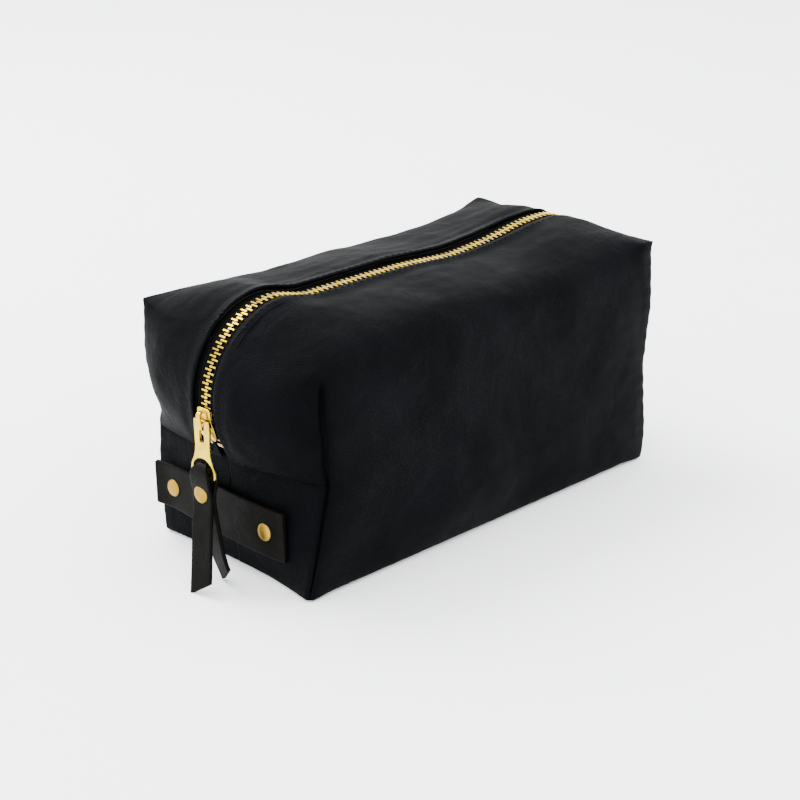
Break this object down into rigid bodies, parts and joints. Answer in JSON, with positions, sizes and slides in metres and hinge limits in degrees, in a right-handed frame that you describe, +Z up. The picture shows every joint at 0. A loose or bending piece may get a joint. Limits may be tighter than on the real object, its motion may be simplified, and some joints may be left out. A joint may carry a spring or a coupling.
{
  "type": "shaving kit bag",
  "caption": "Boxed waxed-canvas shaving kit bag with a curved metal zip over the top, a leather zip pull and a riveted leather strip on one end.",
  "frame": {"origin": "centre of the base, on the surface the bag stands on", "axes": "+Z up, +Y along the length away from the closed end of the zip, +X across the width"},
  "size_m": [0.1162, 0.2725, 0.1266],
  "materials": {
    "canvas": "matt waxed",
    "lining": "plain woven",
    "binding": "ribbed tape",
    "zip_tape": "herringbone tape",
    "brass": "polished",
    "rivet_brass": "satin",
    "leather": "smooth, oiled",
    "spring_steel": "bright"
  },
  "bodies": {
    "bag": {"canvas_left_lower": "canvas", "lining_left_lower": "lining", "front_stop_left": "brass", "corner_binding_front_left_lower": "binding", "corner_binding_rear_left_lower": "binding", "strip_rivet_left": "rivet_brass", "strip_rivet_back_left": "rivet_brass", "canvas_right_lower": "canvas", "lining_right_lower": "lining", "front_stop_right": "brass", "corner_binding_front_right_lower": "binding", "corner_binding_rear_right_lower": "binding", "strip_rivet_right": "rivet_brass", "strip_rivet_back_right": "rivet_brass", "end_binding_front": "binding", "end_binding_rear": "binding", "base_seam_binding": "binding", "end_strip": "leather", "rear_stop": "brass"},
    "mouth_left_half": {"canvas_left_upper": "canvas", "lining_left_upper": "lining", "zip_tape_left": "zip_tape", "zip_teeth_left": "brass", "corner_binding_front_left_upper": "binding", "corner_binding_rear_left_upper": "binding"},
    "mouth_right_half": {"canvas_right_upper": "canvas", "lining_right_upper": "lining", "zip_tape_right": "zip_tape", "zip_teeth_right": "brass", "corner_binding_front_right_upper": "binding", "corner_binding_rear_right_upper": "binding"},
    "slider": {"slider_body": "brass", "slider_crown": "brass", "lock_spring": "spring_steel"},
    "pull": {"pull_tab": "brass"},
    "strap": {"pull_strap": "leather", "strap_rivet_front": "rivet_brass", "strap_rivet_rear": "rivet_brass"}
  },
  "joints": [
    {"name": "mouth_left", "type": "hinge", "parent": "bag", "child": "mouth_left_half", "pos_m": [-0.0585, 0, 0.054], "axis": [0, -1, 0], "range_deg": [0, 22], "deforming": ["zip_tape_left", "zip_tape_right", "zip_teeth_left", "zip_teeth_right"]},
    {"name": "mouth_right", "type": "hinge", "parent": "bag", "child": "mouth_right_half", "pos_m": [0.0585, 0, 0.054], "axis": [0, 1, 0], "range_deg": [0, 22]},
    {"name": "zip_slider", "type": "hinge", "parent": "bag", "child": "slider", "pos_m": [0, -0.086, 0.084], "axis": [1, 0, 0], "range_deg": [-100, 0], "deforming": ["zip_tape_left", "zip_tape_right", "zip_teeth_left", "zip_teeth_right"]},
    {"name": "pull_tab", "type": "hinge", "parent": "slider", "child": "pull", "pos_m": [0, -0.13076, 0.07699], "axis": [-1, 0, 0], "range_deg": [0, 110]},
    {"name": "pull_strap", "type": "hinge", "parent": "pull", "child": "strap", "pos_m": [0, -0.13286, 0.05288], "axis": [-1, 0, 0], "range_deg": [0, 50]}
  ],
  "couplings": [
    {"joint": "mouth_right", "follows": "mouth_left", "ratio": 1}
  ]
}
